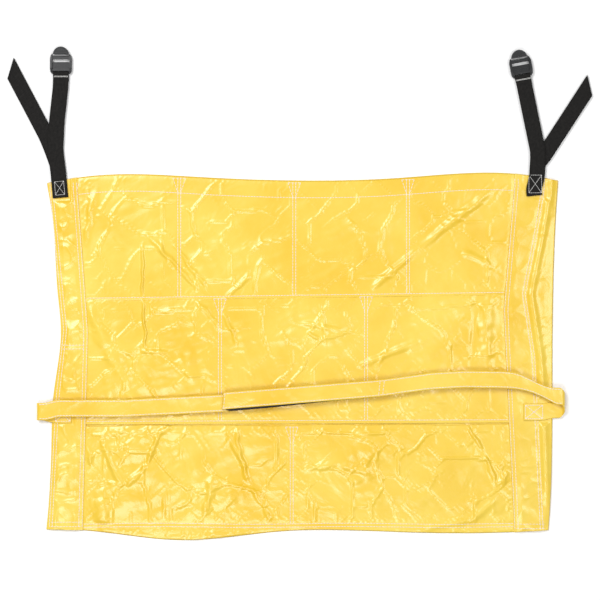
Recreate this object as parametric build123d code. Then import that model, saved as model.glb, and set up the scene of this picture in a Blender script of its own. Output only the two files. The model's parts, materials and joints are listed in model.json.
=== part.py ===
import math
import os

from build123d import *

# A soft caddy bag laid flat: a cloth panel with rows of open pockets, a belt at each
# side and a webbing strap with a ladder-lock buckle at each top corner.
# X runs across the panel, Y up it towards the straps, Z out of its front.

# Cloth and webbing
panel_cloth = 1.0
strip_cloth = 0.8
facing_cloth = 1.0
pocket_clear = 7.0
belt_width = 28.0
belt_cloth = 2.0
tape_cloth = 1.0
tape_width = 22.0
webbing_width = 25.4
webbing_cloth = 1.4
thread_width = 0.8
thread_height = 0.4

# Pocket rows, from the mouth down to the foot seam
pocket_left = -331.0
pocket_right = 318.0
seam_half = 4.0
corner_width = 12.0
corner_drop = 27.0
foot_slope = 25.0
foot_step = 2.4
plan_overrun = 20.0
lining_inset = 1.13
hem_depth = 20.0
hem_end = 15.0
row_table = {
    "top": {"mouth": 181.0, "foot": 1.0, "low": -6.5, "high": 200.0, "dividers": [-190, -9, 170]},
    "middle": {"mouth": -9.0, "foot": -194.0, "low": -204.5, "high": -9.0, "dividers": [-126, 104]},
    "bottom": {"mouth": -208.0, "foot": -358.0, "low": -400.0, "high": -208.0, "dividers": [-13]},
}

# Outline of the panel, corner to corner, anticlockwise from the top left
left_edge = [(-398, 174), (-386, 83), (-381, -2), (-376, -57), (-388, -160), (-391, -230), (-399, -371)]
bottom_edge = [(-399, -371), (-345, -372), (-186, -388), (-30, -374), (150, -375), (391, -372)]
right_edge = [(391, -372), (397, -207), (397, -128), (398, -8), (406, 178)]
top_edge = [(406, 178), (325, 190), (153, 182), (31, 178), (-165, 184), (-241, 188), (-398, 174)]

# Inner edges of the side facings, from top to bottom
left_facing_edge = [(-352, 200), (-333, -60), (-342, -400)]
right_facing_edge = [(339, 200), (320, -25), (338, -400)]

# Seams of the side facings, and the places (x low, x high, y low, y high) sewn over by a strap or belt
left_seams = [
    [(-358, 168), (-338, -40), (-341, -100), (-349, -374)],
    [(-354, 168), (-336, -40), (-338, -100), (-345, -374)],
    [(-393, 165), (-377, 0), (-371, -57), (-383, -160), (-394, -366)],
    [(-377, -81), (-336, -81)],
    [(-378, -88), (-337, -88)],
    [(-395, -362), (-347, -362)],
]
right_seams = [
    [(343, 170), (324, -10), (333, -128), (341, -368)],
    [(347, 170), (328, -10), (337, -128), (345, -368)],
    [(386, 176), (372, 90), (354, 0), (369, -100), (382, -368)],
    [(346, -362), (386, -362)],
]
left_sewn_over = [(-392, -362, 145, 200), (-420, -357, -206, -174)]
right_sewn_over = [(350, 420, -202, -165)]

# Stitching on the pocket rows
divider_half = 2.3
vee_half = 10.0
mouth_inset = 1.0
bar_inset = 1.4
foot_seam_ends = (-330, 318)
bottom_hem_ends = (-330, 320)
bottom_hem_levels = (-362, -367)
anchor_inset = 3.5
tab_inset = 5.5
belt_seam_inset = 3.0

# Sizes past every edge, for cutting pieces to shape, and the overlap a cut needs
reach = 500.0
tall = 30.0
overlap = 1.0

# Levels, each layer resting on the one below
layer_gap = 0.5
tape_gap = 0.4
strip_z = panel_cloth
sheet_top = strip_z + strip_cloth
facing_top = sheet_top + facing_cloth
pocket_top = strip_z + pocket_clear + strip_cloth
left_belt_z = pocket_top + layer_gap
loop_z = left_belt_z + belt_cloth
hook_z = loop_z + tape_cloth + tape_gap
right_belt_z = hook_z + tape_cloth
webbing_z = facing_top + webbing_cloth

# Belts, from the fold beside the panel to the free end
right_fold_x = 412.0
left_fold_x = -408.0
belt_gap = 0.5
belt_lead = 10.0
anchor_lead = 6.0
right_belt_line = [(386, -156), (357, -141), (331, -135), (258, -134), (205, -137), (126, -148), (-120, -168)]
left_belt_line = [(-389, -180), (-277, -180), (-124, -172), (131, -148)]
right_anchor_line = [(351, -186), (385, -186)]
left_anchor_line = [(-358, -190), (-388, -190)]
tape_line = [(124, -150), (-114, -170)]

# Corner straps: the line where each folds, and its route up to the buckle's loop bar
fold_y = 186.0
fold_gap = 0.5
corner_table = {
    "left": {
        "tab": [(-376.5, 150), (-380.0, fold_y + 4)],
        "tab_sewn": 32.0,
        "strap": [(-379.0, fold_y - 4), (-384.5, 225), (-382.5, 270)],
        "bar": (-375.8, 347.0),
        "tilt": 0.0,
        "tail_end": (-455.2, 354.8),
        "tail_angle": 117.8,
        "tail_free": 99.0,
        "tail_root": (-383, 214),
        "slant": -25.0,
    },
    "right": {
        "tab": [(365.5, 155), (374.0, fold_y + 4)],
        "tab_sewn": 36.0,
        "strap": [(372.6, fold_y - 4), (374.5, 222), (365, 268)],
        "bar": (350.0, 342.4),
        "tilt": 10.5,
        "tail_end": (455.7, 327.7),
        "tail_angle": 57.0,
        "tail_free": 107.0,
        "tail_root": (376, 206),
        "slant": 23.5,
    },
}

# Ladder-lock buckle, in its own frame: the loop bar lies along X at the origin
bar_radius = 1.3
loop_clear = 0.1
slot_half = 13.5
frame_half = 17.1
rail_low = -3.0
ridge_near = 3.3
ridge_far = 6.2
slot_near = 17.3
slot_far = 21.7
grip_far = 26.3
tab_near = 28.3
tab_far = 41.3
loop_length = 5.0
loop_overlap = 12.0
loop_point = 2.0
loop_end = loop_length + loop_overlap
plate_top = 0.6
plate_under = -1.6
ridge_top = 2.4
grip_top = 2.0
buckle_depth = 10.0
buckle_plan = [
    (-13.6, -1.6), (13.6, -1.6), (16.4, 1.4), (frame_half, 6), (frame_half, 23), (15.6, tab_near),
    (-15.6, tab_near), (-frame_half, 23), (-frame_half, 6), (-16.4, 1.4),
]
buckle_side = [
    (-2, -1.8), (3, rail_low), (23, rail_low), (tab_near, -1.6),
    (tab_near, 2.2), (20, 3.2), (8, 3.2), (-2, 1.6),
]
slit_side = [(grip_far, 5), (tab_near, 5), (tab_near + 3.6, -5), (grip_far + 1.6, -5)]
slit_end = 0.4
tab_root = [(13.2, tab_near - 3), (15.6, tab_near), (12.4, tab_near + 2.2)]
tab_dome = [
    (12.4, tab_near + 2.2), (7.4, tab_far - 2.6), (0, tab_far), (-7.4, tab_far - 2.6), (-12.4, tab_near + 2.2),
]
tab_side = [
    (tab_near - 3, -2.2), (tab_near + 4, -1.4), (tab_far + 1, 1.6),
    (tab_far + 1, 4), (tab_near, 2.6), (tab_near - 3, 2.4),
]
rib_width = 0.9
tab_rib_count = 4
tab_rib_start = 3.4
tab_rib_pitch = 2.2
tab_rib_half = 9.6
tab_rib_narrowing = 1.9
tab_rib_level = 2.75
tab_rib_slope = 0.1
tab_rib_depth = 0.6
tab_rib_height = 0.5
plate_rib_count = 3
plate_rib_start = 3.0
plate_rib_pitch = 2.8
plate_rib_inset = 1.5
plate_rib_top = 1.3


def plan_solid(points, z, height):
    """A flat piece with straight edges, standing on level z."""
    return Pos(0, 0, z) * extrude(Polygon(*points, align=None), height, dir=(0, 0, 1))


def ribbon(points, width, z, height):
    """A flat strip of the given width along a line of points."""
    left, right = [], []
    for index, (x, y) in enumerate(points):
        before = points[max(index - 1, 0)]
        after = points[min(index + 1, len(points) - 1)]
        run = math.hypot(after[0] - before[0], after[1] - before[1])
        across_x = -(after[1] - before[1]) / run * width / 2
        across_y = (after[0] - before[0]) / run * width / 2
        left.append((x + across_x, y + across_y))
        right.append((x - across_x, y - across_y))
    return plan_solid(left + right[::-1], z, height)


def thread(points, z):
    """One line of stitching lying on level z."""
    return ribbon(points, thread_width, z, thread_height)


def joined(pieces):
    """All the pieces fused into one shape."""
    whole = pieces[0]
    for piece in pieces[1:]:
        whole = whole + piece
    return whole


def panel_blank(z, height):
    """A sheet with the whole panel's outline."""
    edges = [Spline(*points) for points in (left_edge, bottom_edge, right_edge, top_edge)]
    return Pos(0, 0, z) * extrude(make_face(edges), height, dir=(0, 0, 1))


def slab(x_low, x_high, y_low, y_high, z_low, z_high):
    """A box between two corners."""
    size = (x_high - x_low, y_high - y_low, z_high - z_low)
    middle = ((x_low + x_high) / 2, (y_low + y_high) / 2, (z_low + z_high) / 2)
    return Pos(*middle) * Box(*size)


def pocket_bounds(row):
    """The left and right sides of each pocket in a row."""
    stops = [pocket_left - seam_half, *row["dividers"], pocket_right + seam_half]
    return [(low + seam_half, high - seam_half) for low, high in zip(stops, stops[1:])]


def pocket_block(side_low, side_high, row, inset, height):
    """The raised shape of one pocket: sloping sides, sloping foot, open mouth."""
    low, high = side_low + inset, side_high - inset
    mouth, foot = row["mouth"], row["foot"]
    spread = corner_width * (corner_drop + plan_overrun) / corner_drop
    plan = [
        (low, foot - plan_overrun),
        (high, foot - plan_overrun),
        (high, mouth - corner_drop),
        (high - spread, mouth + plan_overrun),
        (low + spread, mouth + plan_overrun),
        (low, mouth - corner_drop),
    ]
    block = Pos(0, 0, strip_z) * extrude(Polygon(*plan, align=None), height, taper=45)
    slope = foot_slope / (pocket_clear + strip_cloth)
    start = foot + inset * foot_step
    side = Polygon(
        (start, strip_z),
        (mouth, strip_z),
        (mouth, strip_z + height),
        (start + slope * height, strip_z + height),
        align=None,
    )
    wedge = extrude(Plane.YZ.offset(-reach) * side, 2 * reach, dir=(1, 0, 0))
    return block & wedge


def pocket_strip(row):
    """One strip of cloth raised into a row of pockets, open underneath onto the panel."""
    strip = panel_blank(strip_z, strip_cloth) & slab(-reach, reach, row["low"], row["high"], 0, tall)
    for low, high in pocket_bounds(row):
        strip = strip + pocket_block(low, high, row, 0, pocket_clear + strip_cloth)
    for low, high in pocket_bounds(row):
        strip = strip - pocket_block(low, high, row, lining_inset, pocket_clear)
    return strip


def edge_facing(inner_edge, outer_x):
    """The doubled band down one side of the panel."""
    plan = [*inner_edge, (outer_x, inner_edge[-1][1]), (outer_x, inner_edge[0][1])]
    return panel_blank(sheet_top, facing_cloth) & plan_solid(plan, 0, tall)


def divider_stitching(row):
    """Two lines down each divider, and a V with a bar across it at the mouth."""
    mouth, foot = row["mouth"], row["foot"]
    lines = []
    for x in row["dividers"]:
        for side in (1, -1):
            down = x + side * divider_half
            vee_top = (x + side * vee_half, mouth - mouth_inset)
            lines.append(thread([(down, foot), (down, mouth - mouth_inset)], sheet_top))
            lines.append(thread([vee_top, (x + side, mouth - corner_drop)], sheet_top))
        lines.append(thread([(x - vee_half, mouth - bar_inset), (x + vee_half, mouth - bar_inset)], sheet_top))
    return joined(lines)


def mouth_stitching():
    """The hem line across each top pocket."""
    row = row_table["top"]
    level = row["mouth"] - hem_depth
    lines = [[(low + hem_end, level), (high - hem_end, level)] for low, high in pocket_bounds(row)]
    return joined([thread(line, pocket_top) for line in lines])


def seam_stitching():
    """The line that sews down the foot of the top and middle strips."""
    lines = []
    for name in ("top", "middle"):
        level = (row_table[name]["low"] + row_table[name]["foot"]) / 2
        lines.append(thread([(x, level) for x in foot_seam_ends], sheet_top))
    return joined(lines)


def foot_stitching():
    """Two lines along the bottom hem, between the facings."""
    return joined([thread([(x, y) for x in bottom_hem_ends], sheet_top) for y in bottom_hem_levels])


def band_stitching(lines, sewn_over):
    """The seams of one side facing, interrupted where a strap or belt is sewn on."""
    seams = joined([thread(points, facing_top) for points in lines])
    for place in sewn_over:
        seams = seams - slab(*place, 0, tall)
    return seams


def first_part(line, length):
    """A straight line cut short."""
    (x0, y0), (x1, y1) = line
    share = length / math.hypot(x1 - x0, y1 - y0)
    return [(x0, y0), (x0 + (x1 - x0) * share, y0 + (y1 - y0) * share)]


def box_cross(centre_line, width, inset, z):
    """A sewn box with a cross in it, over the end of a strap."""
    (x0, y0), (x1, y1) = centre_line
    run = math.hypot(x1 - x0, y1 - y0)
    along = ((x1 - x0) / run, (y1 - y0) / run)
    across = (-along[1], along[0])
    half = width / 2 - inset
    corners = []
    for travel, side in ((inset, -half), (inset, half), (run - inset, half), (run - inset, -half)):
        x = x0 + along[0] * travel + across[0] * side
        y = y0 + along[1] * travel + across[1] * side
        corners.append((x, y))
    lines = [[corners[i], corners[(i + 1) % 4]] for i in range(4)]
    lines += [[corners[0], corners[2]], [corners[1], corners[3]]]
    return joined([thread(line, z) for line in lines])


def belt(line, fold_x, z):
    """A folded cloth belt from beside its fold to its square free end."""
    start = (fold_x + math.copysign(belt_gap, -fold_x), line[0][1] - belt_lead)
    return ribbon([start, *line], belt_width, z, belt_cloth)


def belt_stitching(line, z):
    """A line of stitching along both edges of a belt."""
    shift = belt_width / 2 - belt_seam_inset
    return joined([Pos(0, side * shift, 0) * thread(line[1:], z) for side in (1, -1)])


def belt_anchor(line, fold_x):
    """The end of a belt that is sewn on the side band and runs out to the fold."""
    end = (fold_x - math.copysign(belt_gap, fold_x), line[-1][1] + anchor_lead)
    return ribbon([*line, end], belt_width, facing_top, belt_cloth)


def beyond_fold(piece):
    """The part of a strap that lies above the line where it folds."""
    return piece & slab(-reach, reach, fold_y + fold_gap, reach, 0, tall)


def buckle_place(corner):
    """Where a buckle's own frame lies."""
    return Pos(corner["bar"][0], corner["bar"][1], webbing_z) * Rot(0, 0, corner["tilt"])


def buckle_webbing(corner):
    """The strap from the fold up to the loop round the buckle's bar."""
    place = buckle_place(corner)
    tilt = math.radians(corner["tilt"])
    bar_x, bar_y = corner["bar"]
    near = loop_length - loop_point
    neck = []
    for travel in (loop_end, near):
        neck.append((bar_x + math.sin(tilt) * travel, bar_y - math.cos(tilt) * travel))
    strap = beyond_fold(ribbon([*corner["strap"], *neck], webbing_width, webbing_z, webbing_cloth))
    inner = bar_radius + loop_clear
    outer = inner + webbing_cloth
    closed = Polygon(
        (0, outer), (-loop_length, webbing_cloth), (-loop_end, webbing_cloth),
        (-loop_end, -webbing_cloth), (-loop_length, -webbing_cloth), (0, -outer), align=None,
    )
    hollow = Polygon((0, inner), (-near, 0), (0, -inner), align=None)
    wrap = Plane.YZ * (Circle(outer) + closed - Circle(inner) - hollow)
    loop = Pos(-webbing_width / 2, 0, 0) * extrude(wrap, webbing_width, dir=(1, 0, 0))
    return strap + place * loop


def loop_stitching(corner):
    """The row of stitches that closes the loop."""
    half = webbing_width / 2 - thread_width
    row = slab(-half, half, -loop_length - 2 * thread_width, -loop_length - thread_width, 0, thread_height)
    return buckle_place(corner) * Pos(0, 0, webbing_cloth) * row


def tail_points(corner):
    """The hinge point and the end point of the free tail."""
    angle = math.radians(corner["tail_angle"])
    end_x, end_y = corner["tail_end"]
    hinge = (end_x - math.cos(angle) * corner["tail_free"], end_y - math.sin(angle) * corner["tail_free"])
    return hinge, (end_x, end_y)


def tail_root(corner):
    """The tail's sewn part under the strap, out to where it comes clear of it."""
    hinge = tail_points(corner)[0]
    under = [corner["strap"][0], corner["tail_root"]]
    lower = beyond_fold(ribbon(under, webbing_width, facing_top, webbing_cloth))
    angle = math.radians(corner["tail_angle"])
    stop = (hinge[0] - math.cos(angle) * fold_gap, hinge[1] - math.sin(angle) * fold_gap)
    upper = ribbon([corner["tail_root"], stop], webbing_width, facing_top, webbing_cloth)
    turn = Pos(*corner["tail_root"], facing_top) * extrude(Circle(webbing_width / 2), webbing_cloth)
    return lower + upper + turn


def tail_webbing(corner):
    """The free tail, with its end cut at a slant."""
    hinge, end = tail_points(corner)
    angle = math.radians(corner["tail_angle"])
    along = (math.cos(angle), math.sin(angle))
    across = (-along[1], along[0])
    half = webbing_width / 2
    lean = corner["slant"] / 2
    plan = []
    places = [(hinge, fold_gap, -half), (hinge, fold_gap, half), (end, lean, half), (end, -lean, -half)]
    for start, travel, side in places:
        x = start[0] + along[0] * travel + across[0] * side
        y = start[1] + along[1] * travel + across[1] * side
        plan.append((x, y))
    return plan_solid(plan, facing_top, webbing_cloth)


def side_cut(profile, half_width):
    """A solid with this side view, from Y and Z, across X."""
    return extrude(Plane.YZ.offset(-half_width) * Polygon(*profile, align=None), 2 * half_width, dir=(1, 0, 0))


def upright(face):
    """A plan face made tall enough to be cut by a side view."""
    return Pos(0, 0, -buckle_depth) * extrude(face, 2 * buckle_depth, dir=(0, 0, 1))


def thumb_tab():
    """The domed tab at the buckle's far end, with ribs for the thumb."""
    mirrored = [(-x, y) for x, y in reversed(tab_root)]
    outline = make_face([Polyline(*tab_root), Spline(*tab_dome), Polyline(*mirrored, tab_root[0])])
    tab = upright(outline) & side_cut(tab_side, reach)
    for step in range(tab_rib_count):
        travel = tab_rib_start + step * tab_rib_pitch
        half = tab_rib_half - step * tab_rib_narrowing
        level = tab_rib_level + travel * tab_rib_slope
        near = tab_near + travel
        tab = tab + slab(-half, half, near, near + rib_width, level - tab_rib_depth, level + tab_rib_height)
    return tab


def buckle():
    """A ladder-lock buckle with its thumb tab, the loop bar at the origin."""
    low, high = -buckle_depth, buckle_depth
    body = upright(Polygon(*buckle_plan, align=None)) & side_cut(buckle_side, reach)
    for near, far, under, over in (
        (low, ridge_near, low, high),
        (ridge_far, slot_near, plate_top, high),
        (ridge_near - overlap, slot_near, low, plate_under),
        (ridge_near - overlap, ridge_far, ridge_top, high),
        (slot_near, slot_far, low, high),
        (slot_far - overlap, grip_far, grip_top, high),
    ):
        body = body - slab(-slot_half, slot_half, near, far, under, over)
    body = body + thumb_tab() - side_cut(slit_side, slot_half - slit_end)
    for step in range(plate_rib_count):
        near = ridge_far + plate_rib_start + step * plate_rib_pitch
        half = slot_half - plate_rib_inset
        body = body + slab(-half, half, near, near + rib_width, 0, plate_rib_top)
    bar_half = slot_half + overlap
    bar = extrude(Plane.YZ.offset(-bar_half) * Circle(bar_radius), 2 * bar_half, dir=(1, 0, 0))
    return body + bar


def build_parts():
    """Every node of the bag by its name."""
    parts = {"back_panel": panel_blank(0, panel_cloth)}
    for name, row in row_table.items():
        parts[name + "_pocket_strip"] = pocket_strip(row)
        parts[name + "_divider_stitching"] = divider_stitching(row)
    parts["mouth_hem_stitching"] = mouth_stitching()
    parts["foot_seam_stitching"] = seam_stitching()
    parts["bottom_hem_stitching"] = foot_stitching()
    parts["left_edge_facing"] = edge_facing(left_facing_edge, -reach)
    parts["right_edge_facing"] = edge_facing(right_facing_edge, reach)
    parts["left_band_stitching"] = band_stitching(left_seams, left_sewn_over)
    parts["right_band_stitching"] = band_stitching(right_seams, right_sewn_over)

    tab_top = facing_top + 2 * webbing_cloth
    for side, corner in corner_table.items():
        tab = ribbon(corner["tab"], webbing_width, facing_top, 2 * webbing_cloth)
        parts[side + "_strap_tab"] = tab & slab(-reach, reach, 0, fold_y, 0, tall)
        sewn = first_part(corner["tab"], corner["tab_sewn"])
        parts[side + "_tab_stitching"] = box_cross(sewn, webbing_width, tab_inset, tab_top)
        parts[side + "_buckle_webbing"] = buckle_webbing(corner)
        parts[side + "_loop_stitching"] = loop_stitching(corner)
        parts[side + "_tail_root"] = tail_root(corner)
        parts[side + "_tail_webbing"] = tail_webbing(corner)
        parts[side + "_buckle"] = buckle_place(corner) * buckle()

    anchor_top = facing_top + belt_cloth
    parts["left_belt_anchor"] = belt_anchor(left_anchor_line, left_fold_x)
    parts["right_belt_anchor"] = belt_anchor(right_anchor_line, right_fold_x)
    parts["left_anchor_stitching"] = box_cross(left_anchor_line, belt_width, anchor_inset, anchor_top)
    parts["right_anchor_stitching"] = box_cross(right_anchor_line, belt_width, anchor_inset, anchor_top)
    parts["left_belt"] = belt(left_belt_line, left_fold_x, left_belt_z)
    parts["right_belt"] = belt(right_belt_line, right_fold_x, right_belt_z)
    parts["left_belt_stitching"] = belt_stitching(left_belt_line[:3], left_belt_z + belt_cloth)
    parts["right_belt_stitching"] = belt_stitching(right_belt_line, right_belt_z + belt_cloth)
    parts["loop_strip"] = ribbon(tape_line, tape_width, loop_z, tape_cloth)
    parts["hook_strip"] = ribbon(tape_line, tape_width, hook_z, tape_cloth)
    return parts


if __name__ == "__main__":
    os.makedirs("parts", exist_ok=True)
    for node, shape in build_parts().items():
        export_step(shape, "parts/" + node + ".step")
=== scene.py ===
import json
import math

import bpy
import numpy as np
from mathutils import Matrix, Vector, noise
from mathutils.bvhtree import BVHTree


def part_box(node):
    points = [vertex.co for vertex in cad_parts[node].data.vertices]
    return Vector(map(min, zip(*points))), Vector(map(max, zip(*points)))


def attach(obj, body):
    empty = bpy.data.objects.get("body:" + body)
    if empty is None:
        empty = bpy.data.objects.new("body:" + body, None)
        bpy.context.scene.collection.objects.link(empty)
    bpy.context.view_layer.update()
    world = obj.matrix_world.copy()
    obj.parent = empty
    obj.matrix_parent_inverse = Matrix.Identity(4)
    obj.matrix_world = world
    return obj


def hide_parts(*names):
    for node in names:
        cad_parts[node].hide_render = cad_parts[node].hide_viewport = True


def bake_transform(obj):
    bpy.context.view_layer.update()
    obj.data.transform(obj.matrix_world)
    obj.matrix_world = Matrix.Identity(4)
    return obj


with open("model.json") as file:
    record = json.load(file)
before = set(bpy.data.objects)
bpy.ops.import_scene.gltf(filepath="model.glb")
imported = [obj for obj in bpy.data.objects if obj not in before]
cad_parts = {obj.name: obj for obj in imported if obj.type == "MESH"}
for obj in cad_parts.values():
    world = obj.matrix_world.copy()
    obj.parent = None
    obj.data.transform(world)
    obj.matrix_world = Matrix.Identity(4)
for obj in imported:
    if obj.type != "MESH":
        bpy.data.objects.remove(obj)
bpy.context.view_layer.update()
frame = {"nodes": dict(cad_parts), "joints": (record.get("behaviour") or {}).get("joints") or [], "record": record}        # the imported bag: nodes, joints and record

mm = 0.001
scene = bpy.context.scene
scene.view_settings.view_transform = "Standard"
print("frame loaded", len(frame["nodes"]), "nodes")

def cadCuts(node, along, value):
    # where a line across the plan at this value cuts a node's edges: sorted places to its left
    mesh = frame["nodes"][node].data
    points = np.array([v.co for v in mesh.vertices])
    edges = np.array([e.vertices[:] for e in mesh.edges])
    ahead = points[:, 0] * along[0] + points[:, 1] * along[1]
    aside = points[:, 1] * along[0] - points[:, 0] * along[1]
    first, second = edges[:, 0], edges[:, 1]
    gap = ahead[second] - ahead[first]
    crossing = ((ahead[first] - value) * (ahead[second] - value) <= 0) & (np.abs(gap) > 1e-9)
    first, second, gap = first[crossing], second[crossing], gap[crossing]
    share = (value - ahead[first]) / gap
    return np.sort(aside[first] + share * (aside[second] - aside[first]))


def spanY(node, x):
    cuts = cadCuts(node, (1, 0), x)
    return cuts[0], cuts[-1]


def spanX(node, y):
    cuts = -cadCuts(node, (0, 1), y)
    return cuts[-1], cuts[0]


panelLow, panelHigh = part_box("back_panel")
sideYs = np.linspace(panelLow.y + 18 * mm, panelHigh.y - 20 * mm, 60)
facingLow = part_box("left_edge_facing")[0]
facingYs = np.linspace(facingLow.y + 12 * mm, 168 * mm, 50)


def cornersOf(node):
    # the four corners of a flat node's upper face
    points = np.array([v.co for v in frame["nodes"][node].data.vertices])
    flat = np.unique(np.round(points[points[:, 2] > points[:, 2].max() - 1e-5][:, :2], 6), axis=0)
    middle = (flat.max(0) + flat.min(0)) / 2
    found = {}
    ways = {"footLeft": (-1, -1), "footRight": (1, -1), "topRight": (1, 1), "topLeft": (-1, 1)}
    for name, way in ways.items():
        found[name] = flat[np.argmax(((flat - middle) * way / np.ptp(flat, axis=0)).sum(1))]
    return found


panelCorners = cornersOf("back_panel")
footXs = np.linspace(panelCorners["footLeft"][0] + 2 * mm, panelCorners["footRight"][0] - 2 * mm, 90)
topXs = np.linspace(panelCorners["topLeft"][0] + 2 * mm, panelCorners["topRight"][0] - 2 * mm, 90)
panelLeft, panelRight = np.array([spanX("back_panel", y) for y in sideYs]).T
panelFoot = np.array([spanY("back_panel", x)[0] for x in footXs])
panelTop = np.array([spanY("back_panel", x)[1] for x in topXs])
leftFacingEdge = np.array([spanX("left_edge_facing", y)[1] for y in facingYs])
rightFacingEdge = np.array([spanX("right_edge_facing", y)[0] for y in facingYs])


def leftX(y): return np.interp(y, sideYs, panelLeft)
def rightX(y): return np.interp(y, sideYs, panelRight)
def footY(x): return np.interp(x, footXs, panelFoot)
def topY(x): return np.interp(x, topXs, panelTop)
def leftSeam(y): return np.interp(y, facingYs, leftFacingEdge)
def rightSeam(y): return np.interp(y, facingYs, rightFacingEdge)


def outerThread(node, edge, within, low, high):
    # the outermost line of a side's stitching, as x over y, where it runs within this far of the edge
    ys, xs = [], []
    for y in np.linspace(low, high, 90):
        cuts = -cadCuts(node, (0, 1), y)
        gaps = np.abs(cuts - edge(y))
        if len(cuts) and gaps.min() < within:
            ys.append(y)
            xs.append(cuts[np.argmin(gaps)])
    return np.array(ys), np.array(xs)


bandLow, bandHigh = -366 * mm, 166 * mm
leftOuter = outerThread("left_band_stitching", leftX, 22 * mm, bandLow, bandHigh)
rightOuter = outerThread("right_band_stitching", rightX, 50 * mm, bandLow, bandHigh)


def leftBand(y): return np.interp(y, *leftOuter)
def rightBand(y): return np.interp(y, *rightOuter)


pocketBoxes = {"top": [], "middle": [], "bottom": []}
for opening in frame["record"]["physics"]["openings"]:
    rowName = opening["name"].split("_")[0]
    if rowName in pocketBoxes:
        pocketBoxes[rowName].append(opening["box_m"])


def dividersOf(rowName):
    boxes = pocketBoxes[rowName]
    return [(a[1][0] + b[0][0]) / 2 for a, b in zip(boxes, boxes[1:])]


def newMaterial(name, **plain):
    material = bpy.data.materials.new(name)
    material.use_nodes = True
    shader = material.node_tree.nodes["Principled BSDF"]
    for socket, value in plain.items():
        shader.inputs[socket.replace("_", " ")].default_value = value
    return material, material.node_tree, shader


def addNode(tree, kind, **values):
    node = tree.nodes.new(kind)
    for key, value in values.items():
        if key in node.inputs:
            node.inputs[key].default_value = value
        else:
            setattr(node, key, value)
    return node


def twoTone(tree, source, dark, light, low=0.3, high=0.7):
    ramp = tree.nodes.new("ShaderNodeValToRGB")
    ramp.color_ramp.elements[0].position = low
    ramp.color_ramp.elements[0].color = (*dark, 1)
    ramp.color_ramp.elements[1].position = high
    ramp.color_ramp.elements[1].color = (*light, 1)
    tree.links.new(source, ramp.inputs["Fac"])
    return ramp.outputs["Color"]


def bumpChain(tree, shader, heights):
    # heights: (output, strength, distance in metres), the broadest first
    last = None
    for source, strength, distance in heights:
        bump = addNode(tree, "ShaderNodeBump", Strength=strength, Distance=distance)
        tree.links.new(source, bump.inputs["Height"])
        if last:
            tree.links.new(last, bump.inputs["Normal"])
        last = bump.outputs["Normal"]
    tree.links.new(last, shader.inputs["Normal"])


# two base tones of the vinyl: a random mottle, with the dark tone deepened as painted shade of folds
vinyl = {
    "dark": (0.855, 0.530, 0.010), "light": (0.90, 0.67, 0.085),
    "coat": 0.9, "coatRoughness": 0.27, "roughLow": 0.30, "roughHigh": 0.42,
    "patchScale": 7.0, "crumpleScale": 17.0, "crumpleDepth": 0.0042, "fineScale": 55.0, "fineDepth": 0.0007,
    "weaveScale": 1300.0, "weaveDepth": 0.00004,
}


def vinylMaterial(name, tone=1.0, crumple=1.0):
    # coated nylon: smooth gloss film over a fine scrim, its colour mottled in large random patches; the
    # darker, deeper yellow patches are partly painted shade standing in for the shade of folds
    material, tree, shader = newMaterial(
        name, Coat_Weight=vinyl["coat"], Coat_Roughness=vinyl["coatRoughness"], Coat_IOR=1.5,
        Specular_IOR_Level=0.5, IOR=1.47)
    place = tree.nodes.new("ShaderNodeTexCoord").outputs["Object"]
    patch = addNode(tree, "ShaderNodeTexNoise", Scale=vinyl["patchScale"], Detail=5.0, Roughness=0.6)
    crease = addNode(tree, "ShaderNodeTexNoise", Scale=vinyl["crumpleScale"], Detail=3.0, Roughness=0.45,
                     Distortion=1.8)
    fine = addNode(tree, "ShaderNodeTexNoise", Scale=vinyl["fineScale"], Detail=3.0, Roughness=0.5,
                   Distortion=1.0)
    weave = addNode(tree, "ShaderNodeTexVoronoi", Scale=vinyl["weaveScale"])
    for node in (patch, crease, fine, weave):
        tree.links.new(place, node.inputs["Vector"])
    # painted shade: the darker tone of the random mottle stands in for the shade in folds
    dark = tuple(c * tone for c in vinyl["dark"])
    light = tuple(c * tone for c in vinyl["light"])
    tree.links.new(twoTone(tree, patch.outputs["Fac"], dark, light), shader.inputs["Base Color"])
    gloss = addNode(tree, "ShaderNodeMapRange")
    gloss.inputs["To Min"].default_value = vinyl["roughLow"]
    gloss.inputs["To Max"].default_value = vinyl["roughHigh"]
    tree.links.new(patch.outputs["Fac"], gloss.inputs["Value"])
    tree.links.new(gloss.outputs["Result"], shader.inputs["Roughness"])
    bumpChain(tree, shader, [(crease.outputs["Fac"], 0.8 * crumple, vinyl["crumpleDepth"]),
                             (fine.outputs["Fac"], 0.35 * crumple, vinyl["fineDepth"]),
                             (weave.outputs["Distance"], 0.25, vinyl["weaveDepth"])])
    # the coat takes the same folds, so its gloss breaks up with them
    tree.links.new(shader.inputs["Normal"].links[0].from_socket, shader.inputs["Coat Normal"])
    return material


def threadMaterial(name, colour):
    # twisted polyester thread, a little fuzzy
    material, tree, shader = newMaterial(name, Roughness=0.62, Sheen_Weight=0.25, Sheen_Roughness=0.5)
    place = tree.nodes.new("ShaderNodeTexCoord").outputs["Object"]
    twist = addNode(tree, "ShaderNodeTexNoise", Scale=900.0, Detail=2.0)
    tree.links.new(place, twist.inputs["Vector"])
    dark = tuple(c * 0.88 for c in colour)
    tree.links.new(twoTone(tree, twist.outputs["Fac"], dark, colour), shader.inputs["Base Color"])
    bumpChain(tree, shader, [(twist.outputs["Fac"], 0.4, 0.0002)])
    return material


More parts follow.
